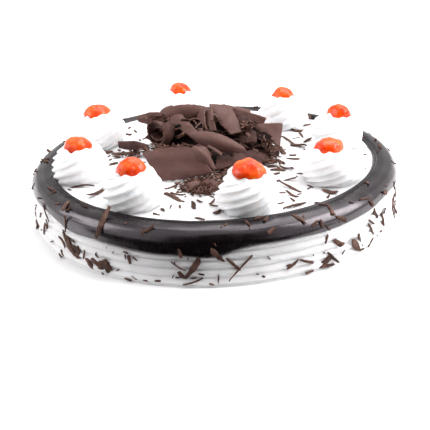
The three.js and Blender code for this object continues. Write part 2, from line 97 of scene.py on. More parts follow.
# Radius share, height share and groove share along a rosette, from its foot to its dimple.
ROSETTE_LINE = [
    (0.86, -0.03, 0.8), (0.9, 0.06, 0.9), (0.99, 0.24, 1.0), (0.985, 0.5, 1.0), (0.89, 0.76, 0.9),
    (0.74, 0.95, 0.5), (0.6, 1.04, 0.2), (0.5, 1.05, 0.05), (0.42, 0.95, 0.0), (0.0, 0.86, 0.0),
]

# The large curls and plates, each a strip bent along its length: length, width, bend in degrees,
# curl, taper, cup, skew, leaf, then its middle x, y, z and its yaw, pitch, roll in degrees.
# curl winds one end tighter, taper widens it towards one end, cup hollows it across, skew slants
# its ends and leaf narrows both.
CURLS = [
    (39, 23, 14, 0, -0.08, 0.05, -0.54, 0.14, -25.7, -40.9, 50.3, -14, -9, 60),  # front left sheet
    (46, 12, 76, 0, 0, 0.35, -0.3, 0.7, 0.5, -24.4, 59.3, -25, 8, 65),  # roll across the middle
    (44, 10, 8, 0, -0.3, 0.1, 0.08, 0.1, -24.3, 13.9, 63, -60, 11, 28),  # ribbon from arch to roll
    (40, 11, 68, 0, -0.12, 0.15, -0.05, 0.6, -19.2, 20.2, 67.6, -2, -3, 68),  # arch at the top
    (20, 9, 18, 0, 0.37, 0.05, -0.26, 0.3, -46.8, 27, 61.2, -23, -8, 62),  # plate, upper left
    (23, 15, 126, 0, -0.3, 0.15, -0.17, 0.05, -29.2, 1.9, 55.8, 47, 110, 70),  # flap at the scroll
    (32, 14, 11, 0, -0.14, 0.08, 0.08, 0.37, 11.1, 8.2, 65.4, -66, 24, 8),  # leaning plate
    (26, 6, 12, 0, 0.14, 0, 0, 0, 26.5, 19.8, 62.4, -16, 17, 56),  # bar behind it
    (19, 14, 43, 0, 0.32, 0, -0.1, 0, 40.9, 4.2, 54.4, -7, 11, 52),  # broad plate, far right
    (17, 10, 20, 0, -0.14, 0, 0.17, 0.1, 39.6, -7.5, 43.8, 17, 4, 53),  # plate under it
    (36, 14, 12, 0, 0.1, 0.03, 0.5, 0, 18, -24.1, 45.3, 25, 4, 20),  # plates under the roll
    (29, 12, 18, 0, 0, 0, 0.35, 0, 26.1, -19.6, 44.9, 24, 8, 24),
    (25, 7, 100, 0, -0.18, 0.3, -0.1, 0.35, -6.5, -44.2, 56.3, -35, 38, 31),  # small front curls
    (18, 9, 170, 0.1, -0.2, 0.1, 0, 0.2, -8, -37, 57, -30, 10, 20),
    (12, 2, 46, 0, 0.2, 0, 0, 0, 1.5, -34.4, 56.3, -3, 34, 49),
    (28, 7, 15, 0, -0.16, 0.3, -0.5, 0.15, -59.1, 14.4, 46.5, -32, -2, 25),  # roll, far left
    (34, 8, 8, 0, -0.25, 0, 0.27, 0, 14.3, 32.7, 64.3, 23, 14, 17),  # strip along the back
    (20, 9, 68, 0, -0.3, 0.1, 0.28, 0, -9, 9.7, 64.8, -83, 40, 60),  # folds behind the roll
    (19, 7, 44, 0, -0.17, 0.1, 0.29, 0.1, -2.1, 7, 64.9, -79, 38, 38),
    (13, 12, 32, 0, -0.3, 0.1, -0.5, 0.1, 24.8, 14.5, 61.5, -30, 14, 20),  # broken edges
    (13, 14, 40, 0, -0.2, 0.1, -0.29, 0.15, 25.3, -3.6, 55.8, -25, -3, 23),
    (62, 16, 430, 0.3, 0, 0, 0, 0, -37, 26, 61, -40, 0, 0),  # scroll at the left
    (44, 22, 50, 0, -0.2, 0.05, 0, 0, -16, 30, 53, 170, 8, 45),  # sheets at the back
    (38, 20, 60, 0, -0.2, 0.1, 0, 0, 15, 29, 50, 200, 8, 45),
    (30, 14, 140, 0.2, 0, 0, 0, 0, -36, 34, 48, 140, 0, 30),
    (11, 5, 60, 0, -0.3, 0, 0, 0, -13, -60, 41.5, 40, 4, 20),  # broken pieces at the front
    (11, 5, 60, 0, -0.3, 0, 0, 0, -3, -58, 41.5, -35, 0, 24),
    (15, 9, 40, 0, -0.2, 0.1, 0.1, 0.2, 18.5, 23, 60.5, -60, 20, 40),  # behind the leaning plate
]
# Rows of CURLS whose skin takes the darker painted shade colour, as they lie in shadow.
PAINTED_SHADE_ROWS = (5, 9, 10, 11, 15, 19, 20, 27)
# Places in a shaving's materials: its skin, its broken edge, its painted shade and its painted deep
# shade.
SKIN, EDGE, SHADED, DEEP = range(4)
CURL_THICKNESS, SCRAP_THICKNESS, FLAKE_THICKNESS = 1.1, 0.9, 0.7
# How many small curls lie on the lumps, and how many near-black ones lie between them as painted
# shade.
SCRAP_COUNT, DEEP_SCRAP_COUNT = 80, 110
# Lumps of small shavings: x, y, length, width, height. Three lie under the curls, one in front.
CORE_LUMPS = 3
LUMPS = [
    (-2, -2, 86, 50, 11), (-6, 14, 66, 36, 26), (28, 3, 34, 32, 18), (-8, -56, 22, 28, 2.2),
]
# Piles of fine broken shavings: middle x, y, z, spread in x, y, z and how many.
CRUMBS = [
    (-8, -58, 39.6, 13, 13, 2.2, 430), (-34, -10, 51, 13, 4, 2, 60), (24, 4, 60, 5, 7, 4, 90),
    (40, -20, 41, 6, 4, 1.5, 40), (-38, 24, 63, 10, 3, 1.5, 30), (6, -38, 41, 14, 6, 1.5, 70),
    (2, 12, 65, 4, 8, 2, 45), (-2, -48, 41, 12, 8, 1.5, 60), (41, -8, 46, 3, 5, 3, 35),
    (-60, 9, 40.5, 9, 5, 1.2, 35), (32, 20, 50, 8, 5, 7, 60), (40, -3, 43, 5, 6, 4, 45),
]

# Flakes that lie on the open cream: x, y, length, width and yaw.
TOP_FLAKES = [
    (-93, -49, 24, 1.5, -8), (-80, -63, 17, 3, 55), (-26, -76, 22, 3, -50), (-25, -70, 11, 1, -20),
    (-29, -55, 12, 1.5, 40), (-14, -90, 8, 3, -85), (-34, -94, 6, 1.5, -60), (-38, -101, 5, 1, -30),
    (-10, -111, 8, 1.5, -40), (1, -102, 7, 3, 55), (-74, -5, 9, 3.5, 30), (-74, -23, 3, 2, -25),
    (-79, 19, 10, 3.5, 45), (-66, 15, 18, 4, 15), (-85, 30, 6, 4, 5), (-66, 60, 6, 3, -25),
    (-61, 67, 7, 2, -65), (66, 53, 10, 4, -25), (83, 90, 7, 1.5, -10), (79, 82, 12, 1.5, 85),
    (75, 66, 8, 3, 45), (68, 41, 14, 1.5, -80), (71, 28, 10, 3, 35), (56, 33, 17, 2.5, -65),
    (63, 19, 13, 4.5, -35), (51, 5, 13, 4, -75), (57, -3, 5, 2, 5), (48, -16, 7, 2, -50),
    (57, -10, 10, 2, -25), (40, -24, 8, 3, 10), (44, -31, 12, 3, -20), (51, -29, 10, 2, -30),
    (42, -39, 7, 2.5, 15), (42, -53, 7, 1.5, 50), (50, -51, 12, 1.5, -10), (52, -67, 26, 2, -50),
    (50, -79, 11, 1.5, -50), (50, -86, 6, 1.5, -65), (45, -99, 7, 1.5, 40), (53, -95, 12, 3, 30),
    (66, -93, 5, 1.5, -15), (76, -76, 12, 5, -45), (-2, -85, 10, 1.5, 70), (24, -104, 5, 1, -45),
    (-50, -48, 9, 1.5, 30), (-62, -40, 6, 1.5, -40), (66, -22, 7, 1.5, -15), (60, -40, 8, 1, -35),
    (-62, 1, 14, 3, 10), (-55, -5, 12, 3, -15), (-70, 9, 9, 4, 40), (-58, 6, 10, 1.5, 5),
    (-50, -14, 9, 1.5, -30), (-78, 2, 8, 1.5, 15),
]
# Flakes on the glaze: azimuth, way up from GLAZE_FLAKE_FOOT, length, width and slant.
GLAZE_FLAKES = [
    (-51, 21, 15, 2.7, -50), (-48, 9, 14, 1, 75), (-34, 18, 22, 4, 88), (-60, 8, 14, 1, -50),
    (-55, 18, 6, 1, 25), (-19, 18, 7, 2.7, 35), (-45, 27, 13, 1, -5), (9, 24, 8, 1.5, -80),
    (13, 28, 6, 2, 10), (15, 26, 10, 2.7, 55), (24, 20, 11, 2.7, -65), (35, 26, 6, 1.3, -50),
    (35, 19, 8, 2, 80), (15, 15, 6, 2.7, 25), (28, 14, 6, 2, 30), (30, 13, 6, 2, -85),
    (37, 12, 9, 2.7, -30), (101, 22, 7, 2, -25), (96, 14, 5, 2, 20), (93, 24, 8, 1.7, 5),
    (60, 12, 8, 2, -35), (51, 12, 6, 2, -60), (49, 17, 10, 1, -15), (-103, 20, 10, 2, 50),
    (-93, 22, 11, 1, 40), (-66, 23, 10, 1, 10), (-10, 4, 6, 2, -75), (70, 9, 6, 1.5, 60),
]
# Flakes on the combed side: azimuth, height, length, width and slant.
SIDE_FLAKES = [
    (-49, 16, 12, 2.7, -60), (-51, 14, 9, 2, -40), (-46, 11, 14, 4, -45), (-44, 13, 5, 2, 60),
    (-41, 12, 8, 1, 80), (-52, 5, 5, 1.7, -40), (-53, 2, 5, 1.3, -20), (-39, 6, 8, 3.3, -60),
    (-33, 8, 9, 5, -5), (-35, 9, 7, 3, 35), (-25, 16, 6, 2, -80), (-11, 15, 11, 0.8, -30),
    (-7, 13, 18, 3.3, 55), (-10, 9, 6, 2.7, -45), (-7, 4.5, 14, 1, 20), (-11, 7, 4, 0.8, 5),
    (0, 6, 6, 1, 85), (-26, 2, 5, 1.3, -15), (-58, 8, 7, 0.8, 25), (-60, 20, 7, 1.3, -60),
    (32, 21, 6, 2, 70), (36, 16, 8, 3.3, -40), (43, 9, 13, 5, -60), (45, 13, 7, 2, -70),
    (34, 7, 12, 2, -50), (32, 6, 9, 3.5, 35), (32, 2.5, 12, 2, -5), (26, 2, 6, 1.3, 5),
    (21, 10, 10, 1.7, 30), (25, 10, 11, 1.7, -25), (0, 22, 12, 4, -45), (4, 16, 13, 2, -50),
    (6, 13, 22, 1, 45), (51, 14, 13, 2, -55), (51, 19, 8, 1.3, -40), (54, 22, 9, 2.7, -50),
    (59, 14, 14, 1.7, -70), (60, 19, 9, 3.3, -35), (51, 4, 8, 1.3, 35), (-64, 12, 9, 2, 70),
    (-67, 20, 7, 1.5, 50), (68, 14, 16, 1, 80), (71, 16, 9, 2, 70), (-62, 16, 6, 2, -30),
    (-48, 17, 9, 3.5, -55), (-45.5, 13, 8, 4.5, 20), (-44, 10.5, 7, 3, 60), (-39.5, 7, 7, 4, -30),
    (-36.5, 8, 8, 3, -20), (-33.5, 9, 8, 5, 30), (-32.5, 7, 7, 4, 80), (-35, 6, 6, 3, 10),
]
# How many small flakes are strewn on the open cream, the glaze and the side, and the azimuth
# beyond which those on the side may be large, as none are listed there.
STREWN = {"top": 120, "glaze": 60, "side": 130}
SIDE_PLACED = 70


# ---- Numbers and shapes -------------------------------------------------------------------------


def waves(points, size, seed, count=9):
    """Smooth uneven values from about -1 to 1, that change over about size millimetres."""
    rng = np.random.default_rng(seed)
    directions = rng.normal(size=(count, 3))
    directions /= np.linalg.norm(directions, axis=1)[:, None]
    rates = directions * (2 * math.pi / size) * rng.uniform(0.6, 1.5, size=(count, 1))
    phases = rng.uniform(0, 2 * math.pi, count)
    return np.sin(np.tensordot(points, rates.T, axes=1) + phases).sum(axis=-1) / math.sqrt(count)


def smooth_line(knots, steps):
    """A Catmull-Rom line through the knots, as an array of steps + 1 rows."""
    knots = np.array(knots, float)
    padded = np.vstack([2 * knots[0] - knots[1], knots, 2 * knots[-1] - knots[-2]])
    at = np.linspace(0, len(knots) - 1, steps + 1)
    start = np.minimum(at.astype(int), len(knots) - 2)
    t = (at - start)[:, None]
    p0, p1, p2, p3 = (padded[start + k] for k in range(4))
    return 0.5 * (
        2 * p1 + (p2 - p0) * t + (2 * p0 - 5 * p1 + 4 * p2 - p3) * t**2
        + (3 * p1 - p0 - 3 * p2 + p3) * t**3
    )


def grid_faces(rows, columns, close_rows=False, close_columns=False, start=0):
    """Quads of a grid of points that are stored row by row."""
    row = np.arange(rows if close_rows else rows - 1)
    column = np.arange(columns if close_columns else columns - 1)
    r, c = np.meshgrid(row, column, indexing="ij")
    r2, c2 = (r + 1) % rows, (c + 1) % columns
    quads = np.stack([r * columns + c, r * columns + c2, r2 * columns + c2, r2 * columns + c])
    return start + quads.reshape(4, -1).T


def finish_piece(name, mesh, materials, nodes):
    """Puts a mesh in the scene as a piece that rides on the cake and replaces CAD nodes."""
    for material in materials:
        mesh.materials.append(material)
    mesh.polygons.foreach_set("use_smooth", [True] * len(mesh.polygons))
    piece = bpy.data.objects.new(name, mesh)
    bpy.context.scene.collection.objects.link(piece)
    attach(piece, "root")
    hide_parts(*nodes)
    return piece


def mesh_of(name, points, faces):
    """A mesh in metres from points in millimetres."""
    mesh = bpy.data.meshes.new(name)
    mesh.from_pydata((np.asarray(points) * MM).tolist(), [], [list(face) for face in faces])
    mesh.validate()
    return mesh


def grid_piece(name, points, material, nodes, close_rows=False, caps=()):
    """A piece made of rings of points. caps are the rings, 0 or -1, that a fan closes."""
    rows, columns = points.shape[:2]
    faces = grid_faces(rows, columns, close_rows, True).tolist()
    corners = points.reshape(-1, 3)
    for cap in caps:
        first = 0 if cap == 0 else (rows - 1) * columns
        corners = np.vstack([corners, points[cap].mean(axis=0)])
        ring = [first + i for i in range(columns)]
        fan = [(ring[i], ring[(i + 1) % columns], len(corners) - 1) for i in range(columns)]
        faces += [face[::-1] for face in fan] if cap == 0 else fan
    return finish_piece(name, mesh_of(name, corners, faces), [material], nodes)


def rotation(yaw, pitch, roll):
    """Turns a strip about its own length by roll, then tips it by pitch and turns it by yaw."""
    turns = (("Z", yaw), ("Y", pitch), ("X", roll))
    whole = Matrix.Identity(3)
    for axis, angle in turns:
        whole = whole @ Matrix.Rotation(math.radians(angle), 3, axis)
    return np.array(whole)


class Shavings:
    """Thin bent strips of chocolate, gathered into one mesh with a skin and a broken edge."""

    def __init__(self):
        self.points, self.faces, self.materials, self.uv, self.count = [], [], [], [], 0

    def add(self, size, place, turn, thickness, seed, steps, ragged, warp, face=SKIN):
        """A strip of size length, width, bend, curl, taper, cup, skew, leaf round its middle.

        ragged is how uneven its outline is, warp how far its skin is dented, in millimetres.
        """
        length, width, bend, curl, taper, cup, skew, leaf = size
        along, across = steps
        u = np.linspace(-0.5, 0.5, along + 1)
        middle = (u[1:] + u[:-1]) / 2
        turning = np.radians(bend) * (1 + 2 * curl * middle) / along
        heading = np.concatenate([[0], np.cumsum(turning)])
        step = (heading[1:] + heading[:-1]) / 2
        x = np.concatenate([[0], np.cumsum(np.cos(step))]) * length / along
        z = np.concatenate([[0], np.cumsum(-np.sin(step))]) * length / along
        half = along // 2
        level = heading[half]
        x, z = x - x[half], z - z[half]
        x, z = x * math.cos(level) - z * math.sin(level), x * math.sin(level) + z * math.cos(level)
        heading = heading - level

        v = np.linspace(-0.5, 0.5, across + 1)
        rng = np.random.default_rng(seed)
        flat = np.stack([u * length, np.zeros_like(u), np.full_like(u, rng.uniform(0, 50))], -1)
        sides = [1 + ragged * waves(flat, wave, seed + k) for k, wave in ((1, 3.2), (2, 4.1))]
        ends = np.stack([np.zeros_like(v), v * width, np.full_like(v, rng.uniform(0, 50))], -1)
        slip = [ragged * width * 0.5 * waves(ends, 3.5, seed + k) for k in (3, 4)]
        skins = []
        for side in (-1, 1):
            reach = np.where(v[None, :] < 0, sides[0][:, None], sides[1][:, None])
            wide = width * (1 + 2 * taper * u[:, None]) * (1 - 4 * leaf * u[:, None] ** 2)
            y = wide * v[None, :] * reach
            shift = np.maximum(0, u[:, None] - 0.35) / 0.15 * slip[0][None, :]
            shift = shift + np.maximum(0, -u[:, None] - 0.35) / 0.15 * slip[1][None, :]
            shift = shift + skew * width * v[None, :]
            where = np.stack(np.broadcast_arrays(u[:, None] * length, y, 7.0 * seed), -1)
            lift = side * thickness / 2 - cup * wide * 4 * v[None, :] ** 2
            lift = lift + warp * waves(where, 14, seed + 5)
            lift = lift + 0.12 * warp * waves(where, 3, seed + 6)
            skin = np.stack([
                x[:, None] + lift * np.sin(heading)[:, None] + shift * np.cos(heading)[:, None],
                y,
                z[:, None] + lift * np.cos(heading)[:, None] - shift * np.sin(heading)[:, None],
            ], -1)
            skins.append(skin @ turn.T + np.array(place))
            self.uv.append(np.stack([u[:, None] * length + 0 * v, 0 * u[:, None] + v * width], -1))
        self._close(skins, along + 1, across + 1, face)

    def _close(self, skins, rows, columns, face):
        """Joins a strip's two skins by a rim, and adds them to the mesh."""
        start, size = self.count, rows * columns
        under = grid_faces(rows, columns, start=start)[:, ::-1]
        over = grid_faces(rows, columns, start=start + size)
        rim = np.concatenate([
            np.arange(columns), np.arange(1, rows) * columns + columns - 1,
            (rows - 1) * columns + np.arange(columns - 2, -1, -1),
            np.arange(rows - 2, 0, -1) * columns,
        ]) + start
        after = np.roll(rim, -1)
        edge = np.stack([rim, after, after + size, rim + size], -1)
        self.points += [skins[0].reshape(-1, 3), skins[1].reshape(-1, 3)]
        self.faces += [under, over, edge]
        self.materials += [np.full(2 * len(under), face), np.full(len(edge), EDGE)]
        self.count += 2 * size

    def piece(self, name, nodes, materials):
        """The gathered strips as one piece. Its skins are smooth, its broken faces are not."""
        mesh = mesh_of(name, np.vstack(self.points), np.vstack(self.faces))
        finish_piece(name, mesh, materials, nodes)
        used = np.concatenate(self.materials)
        mesh.polygons.foreach_set("material_index", used)
        layer = mesh.uv_layers.new(name="strip")
        places = np.vstack([uv.reshape(-1, 2) for uv in self.uv]) * 0.1
        corners = np.zeros(len(mesh.loops), int)
        mesh.loops.foreach_get("vertex_index", corners)
        layer.data.foreach_set("uv", places[corners].ravel())
        mesh.polygons.foreach_set("use_smooth", used == SKIN)


# ---- Materials ----------------------------------------------------------------------------------


class Material:
    """A node material under one Principled shader, with short ways to add its textures."""

    def __init__(self, name, **sockets):
        self.data = bpy.data.materials.new(name)
        self.data.use_nodes = True
        self.tree = self.data.node_tree
        self.shader = self.tree.nodes["Principled BSDF"]
        for socket, value in sockets.items():
            self.shader.inputs[socket.replace("_", " ")].default_value = value
        self.places = self.tree.nodes.new("ShaderNodeTexCoord").outputs["Object"]

    def link(self, source, target):
        self.tree.links.new(source, target)

    def noise(self, scale, detail=4.0, roughness=0.55, places=None, stretch=None):
        node = self.tree.nodes.new("ShaderNodeTexNoise")
        node.inputs["Scale"].default_value = scale
        node.inputs["Detail"].default_value = detail
        node.inputs["Roughness"].default_value = roughness
        source = places or self.places
        if stretch:
            mapping = self.tree.nodes.new("ShaderNodeMapping")
            mapping.inputs["Scale"].default_value = stretch
            self.link(source, mapping.inputs["Vector"])
            source = mapping.outputs["Vector"]
        self.link(source, node.inputs["Vector"])
        return node.outputs["Fac"]

    def ramp(self, value, stops):
        node = self.tree.nodes.new("ShaderNodeValToRGB")
        elements = node.color_ramp.elements
        while len(elements) < len(stops):
            elements.new(0.5)
        for element, (position, colour) in zip(elements, stops):
            element.position = position
            element.color = (*colour, 1.0) if len(colour) == 3 else colour
        self.link(value, node.inputs["Fac"])
        return node.outputs["Color"]

    def colour(self, value, stops):
        self.link(self.ramp(value, stops), self.shader.inputs["Base Color"])

    def rough(self, value, low, high):
        spread = self.ramp(value, [(0.3, (low,) * 3), (0.7, (high,) * 3)])
        self.link(spread, self.shader.inputs["Roughness"])

    def bump(self, value, distance, strength=1.0, after=None):
        node = self.tree.nodes.new("ShaderNodeBump")
        node.inputs["Distance"].default_value = distance
        node.inputs["Strength"].default_value = strength
        self.link(value, node.inputs["Height"])
        if after:
            self.link(after, node.inputs["Normal"])
        self.link(node.outputs["Normal"], self.shader.inputs["Normal"])
        return node.outputs["Normal"]


def cream_material(name, scale, glow, depth, light):
    """Whipped cream. Its dents are about 1 / scale metres wide and its tone is light.

    glow is the share of light that passes into it, and depth how far, in metres.
    """
    cream = Material(name, Roughness=0.5, Subsurface_Weight=glow, Subsurface_Scale=depth)
    cream.shader.inputs["Subsurface Radius"].default_value = (1.0, 0.93, 0.88)
    dull, bright = (0.95 * light, 0.94 * light, 0.95 * light), (light, 0.995 * light, light)
    cream.colour(cream.noise(40), [(0.35, dull), (0.65, bright)])
    coarse = cream.bump(cream.noise(scale, 3.0), 0.0012, 0.5)
    cream.bump(cream.noise(scale * 9, 3.0), 0.0003, 0.5, coarse)
    return cream.data


def glaze_materials():
    """Dark glaze for the band's face, its inner rim and its shoulder. The face shines most."""
    made = []
    for name, coat, specular in (
        ("chocolate_glaze", 0.15, 0.72), ("chocolate_glaze_rim", 0.0, 0.25),
        ("chocolate_glaze_shoulder", 0.03, 0.42),
    ):
        glaze = Material(
            name, IOR=1.55, Coat_Weight=coat, Coat_Roughness=0.16, Specular_IOR_Level=specular,
            Specular_Tint=(1.0, 0.89, 0.96, 1.0),
        )
        dark, light = (0.0030, 0.0018, 0.0025), (0.0065, 0.0040, 0.0050)
        glaze.colour(glaze.noise(60), [(0.3, dark), (0.7, light)])
        glaze.rough(glaze.noise(130, 6.0), 0.2, 0.32)
        glaze.bump(glaze.noise(22, 2.0), 0.0007, 0.3)
        made.append(glaze.data)
    return made


def cherry_material():
    """Candied cherry: orange red, clear under a wet dented skin."""
    cherry = Material(
        "candied_cherry", IOR=1.45, Subsurface_Weight=0.6, Subsurface_Scale=0.005,
        Specular_IOR_Level=0.35, Coat_Weight=0.12, Coat_Roughness=0.15,
    )
    cherry.shader.inputs["Subsurface Radius"].default_value = (1.0, 0.25, 0.08)
    cherry.colour(cherry.noise(120, 3.0), [
        (0.36, (0.66, 0.040, 0.003)), (0.5, (0.82, 0.080, 0.005)), (0.64, (0.90, 0.13, 0.011)),
    ])
    cherry.rough(cherry.noise(300, 3.0), 0.14, 0.3)
    cherry.bump(cherry.noise(190, 3.0), 0.0005, 0.4)
    return cherry.data


def core_material():
    """What shows between the curls: crumbled shavings, coloured near black as painted deep shade.
    """
    crumbled = Material("chocolate_crumbled_painted_shade", Roughness=0.9, Specular_IOR_Level=0.15)
    grains = crumbled.noise(420, 5.0)
    crumbled.colour(grains, [
        (0.4, (0.003, 0.0012, 0.001)), (0.65, (0.010, 0.004, 0.003)), (0.85, (0.035, 0.015, 0.010)),
    ])
    crumbled.bump(grains, 0.0012, 0.9)
    return crumbled.data


def chocolate_materials():
    """A shaving's skin, broken edge, painted shade and painted deep shade, in the order of their
    places.
    """
    skin = Material("chocolate_skin", IOR=1.45, Specular_IOR_Level=0.2)
    strip = skin.tree.nodes.new("ShaderNodeUVMap")
    strip.uv_map = "strip"
    streaks = skin.noise(4.0, 5.0, places=strip.outputs["UV"], stretch=(0.35, 3.2, 1.0))
    skin.colour(streaks, [
        (0.3, (0.092, 0.044, 0.037)), (0.6, (0.115, 0.057, 0.048)), (0.85, (0.14, 0.070, 0.060)),
    ])
    skin.rough(skin.noise(150, 3.0), 0.42, 0.56)
    smooth = skin.bump(streaks, 0.00025, 0.4)
    skin.bump(skin.noise(900, 4.0), 0.00015, 0.5, smooth)

    edge = Material("chocolate_broken", Roughness=0.62)
    grains = edge.noise(700, 5.0)
    edge.colour(grains, [
        (0.3, (0.035, 0.012, 0.007)), (0.55, (0.10, 0.035, 0.018)), (0.8, (0.20, 0.075, 0.040)),
    ])
    edge.bump(grains, 0.0006, 0.8)

    # A darker copy of the skin: painted shade for curls and crumbs that lie in shadow.
    shaded = Material("chocolate_painted_shade", IOR=1.45, Specular_IOR_Level=0.15, Roughness=0.62)
    tone = shaded.noise(110, 5.0)
    shaded.colour(tone, [(0.35, (0.027, 0.011, 0.009)), (0.65, (0.078, 0.036, 0.030))])
    shaded.bump(shaded.noise(420, 4.0), 0.0003, 0.5)

    # Near black: painted deep shade, for scraps laid deep in the gaps between the curls.
    deep = Material("chocolate_painted_deep_shade", Roughness=0.8, Specular_IOR_Level=0.15)
    tone = deep.noise(90, 4.0)
    deep.colour(tone, [(0.35, (0.008, 0.0035, 0.003)), (0.65, (0.032, 0.014, 0.011))])
    deep.bump(deep.noise(420, 4.0), 0.0003, 0.5)
    return [skin.data, edge.data, shaded.data, deep.data]


def flake_material():
    """Scraped flakes: rougher than the curls, and some of them darker than others."""
    scraped = Material("chocolate_scraped", IOR=1.45, Specular_IOR_Level=0.2, Roughness=0.6)
    tone = scraped.noise(85, 7.0, 0.72)
    scraped.colour(tone, [
        (0.36, (0.022, 0.011, 0.008)), (0.5, (0.085, 0.042, 0.030)), (0.66, (0.19, 0.105, 0.078)),
    ])
    grooves = scraped.bump(scraped.noise(260, 5.0, 0.7, stretch=(1.0, 1.0, 3.0)), 0.0009, 0.7)
    scraped.bump(scraped.noise(1100, 3.0), 0.0002, 0.5, grooves)
    return scraped.data


# ---- Cake and glaze -----------------------------------------------------------------------------


def comb_radius(z):
    """Radius of the combed side at height z: round ridges parted by narrow furrows."""
    phase = (z - COMB["first"]) / COMB["pitch"]
    furrow = 1 - np.abs(np.cos(np.pi * phase)) ** 0.9
    return BASE_RADIUS - COMB["taper"] * z - COMB["depth"] * furrow


def shoulder_line(offset):
    """The shoulder under the glaze, moved out along its normal, from the wall to the flat top."""
    high = TOP_Z + GLAZE_RISE - GLAZE_THICKNESS - GAP
    knots = [
        (WALL_RADIUS, high - 7, 1, 0.05), (WALL_RADIUS - 0.8, high - 4, 0.95, 0.32),
        (WALL_RADIUS - 3, high - 1.4, 0.6, 0.8), (WALL_RADIUS - 6.5, high - 0.2, 0.2, 0.98),
        (WALL_RADIUS - 10, high, 0, 1),
    ]
    return [(r + offset * out, z + offset * up) for r, z, out, up in knots]


def revolve(line, segments):
    """Rings of points round the cake: one row for each azimuth, starting at the front."""
    angle = np.linspace(0, 2 * math.pi, segments, endpoint=False) - math.pi / 2
    line = np.broadcast_to(line, (segments, *np.shape(line)[-2:]))
    r, z = line[..., 0], line[..., 1]
    return np.stack([r * np.cos(angle)[:, None], r * np.sin(angle)[:, None], z], -1)


def cake_body(cream):
    """The cream: its flat underside, combed side, shoulder under the glaze and open top."""
    side_z = np.linspace(0, SIDE_TOP, 111)
    side = np.stack([comb_radius(side_z), side_z], -1)
    side[0, 0] -= 0.8
    wall, rim = (WALL_RADIUS, SIDE_TOP + 1), (RIM_RADIUS + 1, TOP_Z - 0.8)
    shoulder = smooth_line([wall] + shoulder_line(0)[1:] + [rim], 24)
    near_rim = np.linspace(RIM_RADIUS + 0.6, RIM_RADIUS - 2, 8)
    top_r = np.concatenate([near_rim, np.linspace(108, 1.5, 60)])
    top = np.stack([top_r, np.full_like(top_r, TOP_Z)], -1)
    bottom = np.array([(60.0, 0.0), (120.0, 0.0)])
    points = revolve(np.vstack([bottom, side, shoulder, top]), 480).transpose(1, 0, 2)
    radius = np.linalg.norm(points[..., :2], axis=-1)
    out = points[..., :2] / radius[..., None]
    on_side = (points[..., 2] > 0.4) & (points[..., 2] < SIDE_TOP + 1)
    uneven = np.where(on_side, 0.25 * waves(points, 26, 11) + 0.14 * waves(points, 5, 12), 0)
    azimuth = np.degrees(np.arctan2(points[..., 0], -points[..., 1]))
    covered = on_side & (points[..., 2] > glaze_edge(azimuth) - GAP)
    radius = np.where(covered, np.minimum(radius, WALL_RADIUS), radius + uneven)
    points[..., :2] = out * radius[..., None]
    on_top = (radius < RIM_RADIUS) & (points[..., 2] > TOP_Z - 1)
    points[..., 2] += np.where(on_top, 0.3 * waves(points, 30, 13) + 0.1 * waves(points, 9, 14), 0)
    return grid_piece("cream_body", points, cream, ["cake_body"], caps=(0, -1))


def glaze_edge(azimuth):
    """Height of the glaze's lower edge."""
    z = np.full_like(azimuth, GLAZE_EDGE)
    for centre, width, drop in GLAZE_LOBES:
        away = (azimuth - centre + 180) % 360 - 180
        z = z - drop * np.exp(-((away / width) ** 2))
    return z


def glaze_band(materials):
    """The glaze: a thin skin with a wavy edge, and two fine ridges round its inner rim."""
    segments, steps = 720, 95
    azimuth = np.arange(segments) * 360 / segments
    low = glaze_edge(azimuth)
    outside = shoulder_line(GLAZE_THICKNESS + GAP)
    level = outside[-1][1]
    ridges = [
        (RIM_RADIUS + 5.2, level + 0.12), (RIM_RADIUS + 4.3, level - 0.25),
        (RIM_RADIUS + 3.4, level + 0.35), (RIM_RADIUS + 2.5, level - 0.2),
        (RIM_RADIUS + 1.6, level + 0.1),
    ]
    rim = [
        (RIM_RADIUS + 0.7, TOP_Z + 0.75), (RIM_RADIUS + 0.1, TOP_Z + 0.1),
        (RIM_RADIUS + 0.1, TOP_Z - 1.2),
    ]
    inner = [(WALL_RADIUS - 6.5, TOP_Z - 2.6), (WALL_RADIUS - 2.4, TOP_Z - 6)]
    rows = []
    for z in low:
        foot = [
            (WALL_RADIUS - 0.6, z + 1.4), (WALL_RADIUS + 0.9, z + 0.12),
            (WALL_RADIUS + 1.7, z + 0.25), (WALL_RADIUS + 2.25, z + 1.2),
            (WALL_RADIUS + 2.35, z * 0.6 + outside[0][1] * 0.4),
        ]
        rows.append(smooth_line(foot + outside + ridges + rim + inner, steps))
    points = revolve(np.array(rows), segments)
    radius = np.linalg.norm(points[..., :2], axis=-1)
    out = points[..., :2] / radius[..., None]
    bulge = np.where(radius > WALL_RADIUS + 0.6, 0.2 * waves(points, 34, 21), 0)
    points[..., :2] += out * bulge[..., None]
    points[..., 2] += 0.12 * waves(points, 24, 22)
    piece = grid_piece("glaze_skin", points, materials[0], ["glaze_band"], close_rows=True)
    for material in materials[1:]:
        piece.data.materials.append(material)
    middle = np.zeros(3 * len(piece.data.polygons))
    piece.data.polygons.foreach_get("center", middle)
    x, y, z = middle.reshape(-1, 3).T / MM
    reach = np.hypot(x, y) - RIM_RADIUS
    on_rim = (reach < RIM_ZONE) & (z > TOP_Z - 1)
    on_shoulder = (reach >= RIM_ZONE) & (reach < SHOULDER_ZONE) & (z > TOP_Z - 2.5)
    used = np.where(on_rim, 1, np.where(on_shoulder, 2, 0))
    piece.data.polygons.foreach_set("material_index", used)


